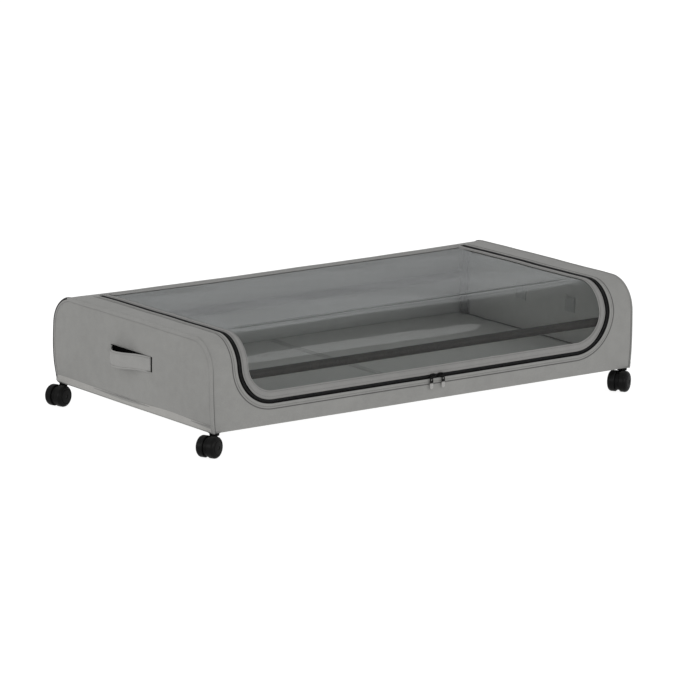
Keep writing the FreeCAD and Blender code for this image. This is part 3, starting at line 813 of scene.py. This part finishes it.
# ============================================================ bottom panel with its stem eyelets
bm_ = Mesh()
nx_, ny_ = 90, 50
pts, uvs = [], []
for j in range(ny_ + 1):
    prow, urow = [], []
    for i in range(nx_ + 1):
        x, y = -446.0 + 892.0 * i / nx_, -247.0 + 494.0 * j / ny_
        ex = end_shift(x, Z0) if abs(x) > 370 else 0.0
        edge_d = min(446 - abs(x), 247 - abs(y))
        z = Z0 + 0.9 * (1 - sstep(0, 12, edge_d)) - 0.2
        z -= 1.3 * sstep(0, 90, edge_d) * (0.6 + 0.4 * sin(x / 90.0) * sin(y / 60.0))
        prow.append((x + ex, y, z))
        urow.append((x * 0.001, y * 0.001))
    pts.append(prow)
    uvs.append(urow)
bm_.grid(pts, uvs, flip=True)
bottom = bm_.make("bottom_panel")
solidify(bottom, 1.2)
give(bottom, M_FABRIC)
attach(bottom, "box")
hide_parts("cover_bottom_panel")

ey = Mesh()
for sx in (-1, 1):
    for sy in (-1, 1):
        prof = [(7.0, 40.9), (7.4, 40.2), (8.6, 39.95), (9.8, 40.2), (10.2, 40.9)]
        ringp = [[(sx * 438.0 + r * cos(2 * pi * k / 40), sy * 238.0 + r * sin(2 * pi * k / 40), z) for k in range(40)]
                 for r, z in prof]
        ringu = [[(k * 0.001, i * 0.001) for k in range(40)] for i in range(len(prof))]
        ey.grid(ringp, ringu, close=True, flip=True)
eyelets = ey.make("stem_eyelets")
give(eyelets, M_PLASTIC)
solidify(eyelets, 0.5)
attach(eyelets, "box")


# ============================================================ black binding on the end walls' back edges
for name, side in (("left", -1), ("right", 1)):
    mesh = Mesh()
    path_ = [(W2 - 0.0, Z0 + 9 + (H - R - 9) * i / 24) for i in range(25)]
    path_ += [((W2 - R) + R * cos(pi / 2 * i / 22), Z0 + H - R + R * sin(pi / 2 * i / 22)) for i in range(1, 20)]
    pts, uvs = [], []
    cross = [(-1.6, -0.2, 0.25), (-1.2, 0.7, 0.5), (0.2, 1.0, 0.9), (1.6, 0.7, 0.6), (2.4, -0.4, 0.2)]
    t = 0.0
    for i, (y, z) in enumerate(path_):
        a = 0.0 if z <= Z0 + H - R else math.atan2(z - (Z0 + H - R), y - (W2 - R))
        ny, nz = cos(a), sin(a)
        s_here = S_END - (z - Z0) if z <= Z0 + H - R else S_B - R * a
        sl = slack(side * L2, s_here)
        row = []
        # from the wrap's face, round the edge, onto the end wall
        for off, out_, k in ((3.4, 0.15, 0), (2.6, 0.95, 0), (0.6, 1.15, 0)):
            row.append((side * (L2 - off) + end_shift(side * L2, z), y + ny * (sl + out_ - 0.15), z + nz * (sl + out_ - 0.15)))
        for inn, out_ in ((0.3, 2.9), (1.6, 1.75), (4.0, 1.15), (4.9, 0.15)):
            yy, zz_ = y - ny * inn, z - nz * inn
            row.append((side * (L2 + out_) + end_shift(side * L2, z) + side * end_relief(yy, zz_), yy + ny * sl, zz_ + nz * sl))
        pts.append(row)
        uvs.append([(k * 0.0012, i * 0.004) for k in range(len(row))])
    mesh.grid(pts, uvs, flip=side > 0)
    ob = mesh.make("edge_binding_cloth_" + name)
    subsurf(ob, 1)
    solidify(ob, 0.5)
    give(ob, M_BINDING)
    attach(ob, "box")
    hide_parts("edge_binding_" + name)

# ============================================================ zipper: tapes and coils
TOOTH = 2.2


def tape_strip(name, o_list, h_list, bodyname, nodename):
    mesh = Mesh()
    n = 420
    pts, uvs = [], []
    for o, h in zip(o_list, h_list):
        prow, urow = [], []
        for i in range(n + 1):
            t = PATH_LEN * i / n
            x, s, nx, ns = along(t, o)
            prow.append(P(x, s, h))
            urow.append((t * 0.001, o * 0.001))
        pts.append(prow)
        uvs.append(urow)
    mesh.grid(pts, uvs, flip=True)
    ob = mesh.make(name)
    solidify(ob, 0.5)
    give(ob, M_BLACKTAPE)
    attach(ob, bodyname)
    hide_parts(nodename)
    return ob


tape_strip("zip_tape_body", [0.25, 0.8, 2.6, 3.4, 6.0, 12.0], [-0.75, -0.55, -0.55, -0.8, -1.0, -1.9], "box", "zipper_tape_body")
tape_strip("zip_tape_flap", [-12.0, -6.0, -3.4, -2.6, -0.8, -0.25], [-1.9, -1.0, -0.8, -0.55, -0.55, -0.75], "window_flap", "zipper_tape_flap")


def coil(name, sign, phase, bodyname):
    mesh = Mesh()
    n = int((PATH_LEN - 6) / TOOTH)
    for i in range(n):
        t = 3 + (i + phase) * TOOTH
        pts, nor = [], []
        for o, h, dt in ((-0.75, -0.10, 0.0), (-0.35, 0.42, 0.0), (0.6, 0.52, 0.10), (1.6, 0.45, 0.30), (2.35, 0.05, 0.55), (2.6, -0.45, 0.8)):
            x, s, nx, ns = along(t + dt * 0.8, sign * o)
            pts.append(P(x, s, h))
            nor.append(tuple(N(x, s)))
        mesh.tube(pts, [0.52, 0.56, 0.47, 0.46, 0.45, 0.40], sides=6, flat=nor)
    # the sewing line that holds the coil to its tape
    for oo in (1.15, 1.95):
        m = int(PATH_LEN / 4.4)
        pts, nor = [], []
        for i in range(m + 1):
            x, s, nx, ns = along(PATH_LEN * i / m, sign * oo)
            pts.append(P(x, s, 0.90 + 0.08 * (i % 2)))
            nor.append(tuple(N(x, s)))
        mesh.tube(pts, 0.16, sides=4, flat=nor)
    ob = mesh.make(name)
    give(ob, M_COIL)
    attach(ob, bodyname)
    return ob


coil("zip_coil_body", 1, 0.0, "box")
coil("zip_coil_flap", -1, 0.5, "window_flap")

# ============================================================ window flap: border and clear sheet
bd = Mesh()
OB = [-4.5, -4.6, -4.9, -5.6, -6.6, -7.3, -8.2, -9.6, -11.2, -12.8, -14.2, -15.0, -15.6, -16.2, -17.0, -17.6, -17.9, -18.0]


def border_h(o):
    t = (abs(o) - 4.5) / 13.5
    h = 1.25 * sqrt(max(0.0, 1 - abs(2 * t - 1) ** 3.2)) - 0.35
    h -= 0.45 * exp(-((abs(o) - 15.4) / 0.45) ** 2)
    h -= 0.35 * exp(-((abs(o) - 7.2) / 0.45) ** 2)
    return h


bcols = columns(5.0, 3.2, 5.2, s_end=S_HINGE - 0.4)
pts, uvs = [], []
for o in OB:
    prow, urow = [], []
    for x0, s0, nx, ns, kind in bcols:
        # along the front the padded edge lies over half of the flap's tape
        oe = o + 2.4 * sstep(0.55, 1.0, -ns) * (1 - (abs(o) - 4.5) / 13.5)
        x, s = x0 + nx * oe, s0 + ns * oe
        prow.append(P(x, s, border_h(o)))
        urow.append((x * 0.001, s * 0.001))
    pts.append(prow)
    uvs.append(urow)
bd.grid(pts, uvs, flip=False)
# the band along the back, between the two side bands
S_BB = S_HINGE - 0.4
xs = [-376.2 + 752.4 * i / 150 for i in range(151)]
pts, uvs = [], []
for d in [0.0, 0.15, 0.5, 1.2, 2.4, 4.0, 6.0, 8.0, 9.4, 10.1, 10.6, 11.1, 12.0, 12.7, 13.0]:
    prow, urow = [], []
    for x in xs:
        t = d / 13.0
        h = 0.70 * sqrt(max(0.0, 1 - abs(2 * t - 1) ** 3.0)) - 0.05 - 0.3 * exp(-((d - 10.6) / 0.45) ** 2)
        k = sstep(0, 5, 376.2 - abs(x))
        prow.append(P(x, S_BB - d, h * k + border_h(-16.6) * (1 - k)))
        urow.append((x * 0.001, (S_BB - d) * 0.001))
    pts.append(prow)
    uvs.append(urow)
bd.grid(pts, uvs, flip=False)
border = bd.make("window_border_cloth")
solidify(border, 0.7)
give(border, M_BORDER)
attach(border, "window_flap")
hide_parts("window_border")

th = Mesh()
stitches(th, path_line(-15.4, border_h(-15.4) + 0.3, 4.0, PATH_LEN - 4.0), pitch=3.6, r=0.26)
stitches(th, path_line(-7.2, border_h(-7.2) + 0.3, 4.0, PATH_LEN - 4.0), pitch=3.6, r=0.26)
stitches(th, [(P(x, S_BB - 10.6, 0.55), (0, 0, 1)) for x in [-372 + 744 * i / 120 for i in range(121)]], pitch=3.6, r=0.26)
fth = th.make("window_stitching")
give(fth, M_THREAD)
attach(fth, "window_flap")


def sheet_ripple(x, s):
    """Height of the clear sheet's own waviness."""
    y, z, ny, nz = wrap(s)
    h = 0.0
    e_side = sstep(0, 40, 376 - abs(x))
    e_low = sstep(0, 25, s - 60)
    k = e_side * e_low * sstep(0, 40, S_HINGE - 20 - s)
    curve = sstep(60, 110, s) * (1 - sstep(S_A + 16, S_A + 34, s))
    # lengthwise waves over the curve
    h += 0.30 * curve * sin(s / 3.9 + 0.8 * sin(x / 163.0) + 0.4 * sin(x / 71.0))
    h += 0.30 * curve * sin(s / 8.3 + 1.2 * sin(x / 247.0 + 1.0))
    # a fold line across the top just behind the curve, slightly askew
    sc = S_A + 21.0 + 1.4 * sin(x / 310.0 + 0.5) + x * 0.0022
    h += 1.5 * exp(-((s - sc) / 1.6) ** 2) - 0.9 * exp(-((s - sc - 5.0) / 2.6) ** 2)
    h -= 0.5 * exp(-((s - sc + 5.5) / 3.0) ** 2)
    # broad shallow waves on the flat top
    flat = sstep(S_A + 26, S_A + 70, s)
    h += flat * (0.55 * sin(x / 58.0 + s / 170.0) * sin(s / 64.0 + 0.5 * sin(x / 140.0)) + 0.35 * sin(x / 31.0 - s / 90.0))
    return h * k


pv = Mesh()
xs = [-388.0, -386.5, -384.0, -381.0, -378.0, -374.0, -369.0, -363.0, -356.0, -348.0, -339.0, -329.0]
xs = xs + [-325.0 + 650.0 * i / 108 for i in range(109)] + [-x for x in reversed(xs)]
OW = -5.6
rad = ZC + OW


def lie(s):
    """Depth of the clear sheet under the border, less along the back."""
    return -1.15 + 0.95 * sstep(S_BB - 60, S_BB - 16, s)


def low(x):
    ax = abs(x)
    if ax <= AX:
        return ZR - OW
    return AS - sqrt(max(0.0, rad * rad - (ax - AX) ** 2))


wl = [i / 16 for i in range(16)]
fixed = [AS + (S_A + 8 - AS) * i / 44 for i in range(45)]
fixed += [S_A + 8 + 30.0 * i / 30 for i in range(1, 31)]
fixed += [S_A + 38 + (S_BB - S_A - 38) * i / 46 for i in range(1, 47)]
pts, uvs = [], []
for w in wl:
    prow, urow = [], []
    for x in xs:
        x = max(-(AX + rad), min(AX + rad, x))
        s = low(x) + w * (AS - low(x))
        prow.append(P(x, s, lie(s) + sheet_ripple(x, s)))
        urow.append((x * 0.001, s * 0.001))
    pts.append(prow)
    uvs.append(urow)
for s in fixed:
    prow, urow = [], []
    for x in xs:
        x = max(-(AX + rad), min(AX + rad, x))
        prow.append(P(x, s, lie(s) + sheet_ripple(x, s)))
        urow.append((x * 0.001, s * 0.001))
    pts.append(prow)
    uvs.append(urow)
pv.grid(pts, uvs)
clear_ob = pv.make("clear_window", weld=0.01)
solidify(clear_ob, 0.5)
give(clear_ob, M_CLEAR)
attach(clear_ob, "window_flap")
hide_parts("window_sheet")

# ============================================================ handles
for name, side in (("left", -1), ("right", 1)):
    mesh = Mesh()
    n = 56
    z_lo, z_hi = Z0 + 71.4, Z0 + 100.0

    knots = [(-61.0, 0.0), (-45.0, 2.6), (-24.0, 8.2), (-6.0, 17.2), (7.0, 22.2), (16.0, 23.6), (27.0, 22.4), (41.0, 15.4), (53.0, 6.6), (61.0, 0.0)]

    def bow(u):
        """u from -1 to 1 along the span: y and how far out; the strap hangs fuller towards its back end."""
        y = 61.0 * u
        k = max(0, min(len(knots) - 2, sum(1 for a in knots if a[0] <= y) - 1))
        (ya, oa), (yb, ob_) = knots[k], knots[k + 1]
        ma = (knots[min(k + 1, 9)][1] - knots[max(k - 1, 0)][1]) / (knots[min(k + 1, 9)][0] - knots[max(k - 1, 0)][0])
        mb = (knots[min(k + 2, 9)][1] - knots[k][1]) / (knots[min(k + 2, 9)][0] - knots[k][0])
        d = yb - ya
        t = (y - ya) / d
        o_ = (2 * t ** 3 - 3 * t * t + 1) * oa + (t ** 3 - 2 * t * t + t) * d * ma + (3 * t * t - 2 * t ** 3) * ob_ + (t ** 3 - t * t) * d * mb
        return y, max(o_, 0.0)

    path_ = []
    for i in range(5):
        path_.append((-88.0 + 26.4 * i / 4, -4.4))
    path_.append((-61.2, -4.0))
    path_.append((-61.0, -2.2))
    for i in range(n + 1):
        u = -1 + 2 * i / n
        y, o_ = bow(u)
        path_.append((y, o_ + 0.4))
    path_.append((61.0, -2.2))
    path_.append((61.2, -4.0))
    for i in range(5):
        path_.append((61.6 + 26.4 * i / 4, -4.4))
    wz = [0.0, 0.02, 0.06, 0.10, 0.13, 0.3, 0.5, 0.7, 0.87, 0.90, 0.94, 0.98, 1.0]
    m = len(path_)
    faces_ = []
    for sgn, thick in ((1, 0.95), (-1, -0.95)):
        pts, uvs = [], []
        for w in wz:
            prow, urow = [], []
            for i, (y, o_) in enumerate(path_):
                a, b = path_[max(i - 1, 0)], path_[min(i + 1, m - 1)]
                tx, ty = b[1] - a[1], b[0] - a[0]
                ln = math.hypot(tx, ty)
                nx_o, ny_o = ty / ln, -tx / ln       # outward normal in (out, y)
                edge_ = min(w, 1 - w)
                tk = thick * sqrt(max(0.02, 1 - (1 - min(1.0, edge_ / 0.045)) ** 2))
                tk -= 0.35 * sgn * exp(-((edge_ - 0.105) / 0.018) ** 2)
                mid = 1 - (2 * w - 1) ** 2
                lift = 0.9 * mid * sstep(-1.5, 6, o_)
                # the strap leans and its edges wave a little
                wob = 0.5 * sin(y / 17.0 + 2.0 * w) * sstep(0, 8, o_)
                zz_ = z_lo + (z_hi - z_lo) * w - 0.9 * sstep(2, 20, o_) * (1 - 0.3 * w)
                q_out = o_ + nx_o * (tk + lift) + wob * 0.4
                q_y = y + ny_o * (tk + lift)
                x_w = side * L2 + end_shift(side * L2, zz_) + side * q_out
                prow.append((x_w, q_y, zz_))
                urow.append((i * 0.0025, w * 0.0286))
            pts.append(prow)
            uvs.append(urow)
        mesh.grid(pts, uvs, flip=(sgn > 0) == (side > 0))
    # close the long edges and the ends
    cols_n = m
    rows_n = len(wz)
    off2 = rows_n * cols_n
    fl = side > 0

    def quad(a, b, c, d):
        mesh.f.append((d, c, b, a) if fl else (a, b, c, d))
    for i in range(cols_n - 1):
        quad(i, i + 1, off2 + i + 1, off2 + i)
        a = (rows_n - 1) * cols_n + i
        quad(off2 + a, off2 + a + 1, a + 1, a)
    for r_ in range(rows_n - 1):
        a, b = r_ * cols_n, (r_ + 1) * cols_n
        quad(off2 + a, off2 + b, b, a)
        a, b = a + cols_n - 1, b + cols_n - 1
        quad(a, b, off2 + b, off2 + a)
    strap = mesh.make("strap_handle_" + name)
    import bmesh
    bm2 = bmesh.new()
    bm2.from_mesh(strap.data)
    bmesh.ops.recalc_face_normals(bm2, faces=bm2.faces)
    bm2.to_mesh(strap.data)
    bm2.free()
    give(strap, M_STRAP)
    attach(strap, "box")
    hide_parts("handle_strap_" + name)
    th = Mesh()
    for w in (0.105, 0.895):
        line = []
        for i in range(7, m - 7):
            y, o_ = path_[i]
            a, b = path_[i - 1], path_[i + 1]
            tx, ty = b[1] - a[1], b[0] - a[0]
            ln = math.hypot(tx, ty)
            nx_o, ny_o = ty / ln, -tx / ln
            mid = 1 - (2 * w - 1) ** 2
            k = 0.95 + 0.9 * mid * sstep(-1.5, 6, o_) - 0.1
            wob = 0.5 * sin(y / 17.0 + 2.0 * w) * sstep(0, 8, o_)
            zz_ = z_lo + (z_hi - z_lo) * w - 0.9 * sstep(2, 20, o_) * (1 - 0.3 * w)
            line.append(((side * L2 + end_shift(side * L2, zz_) + side * (o_ + nx_o * k + wob * 0.4), y + ny_o * k, zz_),
                         (side * nx_o, ny_o, 0)))
        stitches(th, line, pitch=3.4, length=2.5, r=0.25)
    ts = th.make("strap_stitching_" + name)
    give(ts, M_THREAD_L)
    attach(ts, "box")


# ============================================================ inside: base boards and end boards in their cloth
def board(name, x0, x1, y0, y1, z, t, nodename):
    mesh = Mesh()
    nx_, ny_ = 44, 48
    zt, zb = z + t, z
    pts, uvs = [], []
    for j in range(ny_ + 1):
        prow, urow = [], []
        for i in range(nx_ + 1):
            u, v = i / nx_, j / ny_
            x, y = x0 + (x1 - x0) * u, y0 + (y1 - y0) * v
            e = min(x - x0, x1 - x, y - y0, y1 - y)
            h = zt - 1.0 * (1 - sqrt(max(0.0, 1 - (1 - min(1, e / 2.0)) ** 2)))
            h += 0.18 * sin(x / 31.0 + 0.9 * sin(y / 43.0)) * sin(y / 27.0) * sstep(0, 30, e) - 0.0
            prow.append((x, y, h))
            urow.append((x * 0.001, y * 0.001))
        pts.append(prow)
        uvs.append(urow)
    mesh.grid(pts, uvs)
    low_ = [[(p[0], p[1], zb) for p in row] for row in pts]
    mesh.grid(low_, uvs, flip=True)
    W_ = nx_ + 1
    off = W_ * (ny_ + 1)
    ring = [i for i in range(W_)] + [j * W_ + nx_ for j in range(1, ny_ + 1)]
    ring += [ny_ * W_ + i for i in range(nx_ - 1, -1, -1)] + [j * W_ for j in range(ny_ - 1, 0, -1)]
    for a, b in zip(ring, ring[1:] + ring[:1]):
        mesh.f.append((a, off + a, off + b, b))
    ob = mesh.make(name, weld=0.005)
    give(ob, M_BOARD)
    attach(ob, "box")
    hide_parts(nodename)
    th = Mesh()
    d = 6.0
    loop = [(x0 + d, y0 + d), (x1 - d, y0 + d), (x1 - d, y1 - d), (x0 + d, y1 - d), (x0 + d, y0 + d)]
    line = []
    for (ax_, ay_), (bx_, by_) in zip(loop, loop[1:]):
        for i in range(40):
            line.append(((ax_ + (bx_ - ax_) * i / 40, ay_ + (by_ - ay_) * i / 40, zt + 0.12), (0, 0, 1)))
    stitches(th, line, pitch=5.0, length=3.6, r=0.3)
    ts = th.make(name + "_stitching")
    give(ts, M_THREAD)
    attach(ts, "box")


board("base_cloth_left", -428.0, -0.6, -246.0, 246.0, 58.8, 2.5, "base_board_left")
board("base_cloth_right", 0.6, 428.0, -246.0, 246.0, 58.8, 2.5, "base_board_right")
for s in ("left", "right"):
    cad("end_board_" + s, M_BACKING)

# ============================================================ carried-over CAD nodes
for n in ("end_hoop_left", "end_hoop_right", "front_bottom_rail", "back_bottom_rail", "left_bottom_bar", "right_bottom_bar",
          "front_mid_rail", "back_mid_rail", "cross_bar_left", "cross_bar_right"):
    cad(n, M_TUBE)
for n in ("rail_saddle_plugs",):
    cad(n, M_PLASTIC)
cad("frame_screws", M_ZINC)
for c in ("front_left", "back_left", "front_right", "back_right"):
    cad("corner_connector_" + c, M_PLASTIC)
    cad("caster_%s_stem" % c, M_ZINC)
    cad("caster_%s_axle" % c, M_AXLE)
    cad("caster_%s_hood" % c, M_HOOD)
    cad("caster_%s_wheel_outer" % c, M_NYLON)
    cad("caster_%s_wheel_inner" % c, M_NYLON)
for s in ("left", "right"):
    cad("zipper_slider_" + s, M_SLIDER)
    cad("zipper_pull_" + s, M_PULL)

# ============================================================ studio
scene = bpy.context.scene
scene.view_settings.view_transform = "Standard"
scene.view_settings.look = "None"

floor_me = bpy.data.meshes.new("floor")
floor_me.from_pydata([(-60, -60, -0.0006), (60, -60, -0.0006), (60, 60, -0.0006), (-60, 60, -0.0006)], [], [(0, 1, 2, 3)])
floor = bpy.data.objects.new("floor", floor_me)
scene.collection.objects.link(floor)
mf = bpy.data.materials.new("pale_floor")
mf.use_nodes = True
nt = mf.node_tree
for n in list(nt.nodes):
    nt.nodes.remove(n)
out = nt.nodes.new("ShaderNodeOutputMaterial")
dif = nt.nodes.new("ShaderNodeBsdfDiffuse")
dif.inputs["Color"].default_value = (0.30, 0.30, 0.30, 1)
emi = nt.nodes.new("ShaderNodeEmission")
emi.inputs["Color"].default_value = (1, 1, 1, 1)
emi.inputs["Strength"].default_value = 0.93
add = nt.nodes.new("ShaderNodeAddShader")
nt.links.new(dif.outputs[0], add.inputs[0])
nt.links.new(emi.outputs[0], add.inputs[1])
# what mirrors the floor sees it dimmer, as under a real light tent
dim = nt.nodes.new("ShaderNodeEmission")
dim.inputs["Strength"].default_value = 0.34
soft = nt.nodes.new("ShaderNodeEmission")
soft.inputs["Strength"].default_value = 0.66
flp = nt.nodes.new("ShaderNodeLightPath")
fmd = nt.nodes.new("ShaderNodeMixShader")
nt.links.new(flp.outputs["Is Diffuse Ray"], fmd.inputs[0])
nt.links.new(add.outputs[0], fmd.inputs[1])
nt.links.new(soft.outputs[0], fmd.inputs[2])
fmx = nt.nodes.new("ShaderNodeMixShader")
nt.links.new(flp.outputs["Is Glossy Ray"], fmx.inputs[0])
nt.links.new(fmd.outputs[0], fmx.inputs[1])
nt.links.new(dim.outputs[0], fmx.inputs[2])
nt.links.new(fmx.outputs[0], out.inputs["Surface"])
floor.data.materials.append(mf)

world = bpy.data.worlds.new("studio")
scene.world = world
world.use_nodes = True
nt = world.node_tree
for n in list(nt.nodes):
    nt.nodes.remove(n)
out = nt.nodes.new("ShaderNodeOutputWorld")
lp = nt.nodes.new("ShaderNodeLightPath")
bg1 = nt.nodes.new("ShaderNodeBackground")
bg1.inputs["Color"].default_value = (1, 1, 1, 1)
bg1.inputs["Strength"].default_value = 1.0
bg2 = nt.nodes.new("ShaderNodeBackground")
bg2.inputs["Color"].default_value = (1, 1, 1, 1)
bg2.inputs["Strength"].default_value = 0.60
bg3 = nt.nodes.new("ShaderNodeBackground")
bg3.inputs["Color"].default_value = (0.97, 0.99, 1, 1)
bg3.inputs["Strength"].default_value = 0.37
mg = nt.nodes.new("ShaderNodeMixShader")
nt.links.new(lp.outputs["Is Glossy Ray"], mg.inputs[0])
nt.links.new(bg2.outputs[0], mg.inputs[1])
nt.links.new(bg3.outputs[0], mg.inputs[2])
mx = nt.nodes.new("ShaderNodeMixShader")
nt.links.new(lp.outputs["Is Camera Ray"], mx.inputs[0])
nt.links.new(mg.outputs[0], mx.inputs[1])
nt.links.new(bg1.outputs[0], mx.inputs[2])
nt.links.new(mx.outputs[0], out.inputs["Surface"])


def area(name, loc, target, size, power, color=(1, 1, 1)):
    d = bpy.data.lights.new(name, "AREA")
    d.shape = "RECTANGLE"
    d.size, d.size_y = size
    d.energy = power
    d.color = color
    o = bpy.data.objects.new(name, d)
    scene.collection.objects.link(o)
    o.location = loc
    o.rotation_euler = (Vector(target) - Vector(loc)).to_track_quat("-Z", "Y").to_euler()
    return o


area("front_box", (0.6, -4.2, 1.3), (0, 0, 0.1), (4.5, 1.6), 20)
area("left_box", (-4.4, -0.6, 1.5), (0, 0, 0.1), (3.0, 1.6), 15)

# ============================================================ camera
yaw, pitch = 0.6153, 0.2163
f = Vector((sin(yaw) * cos(pitch), cos(yaw) * cos(pitch), -sin(pitch)))
r = f.cross(Vector((0, 0, 1))).normalized()
u = r.cross(f)
cam_d = bpy.data.cameras.new("camera")
cam_d.sensor_width = 36.0
cam_d.lens = 266.657
cam_d.clip_start, cam_d.clip_end = 0.1, 200.0
cam = bpy.data.objects.new("camera", cam_d)
cam.matrix_world = Matrix(((r.x, u.x, -f.x, -5.176475), (r.y, u.y, -f.y, -7.339190), (r.z, u.z, -f.z, 2.058255), (0, 0, 0, 1)))
scene.collection.objects.link(cam)
scene.camera = cam

bpy.context.view_layer.update()
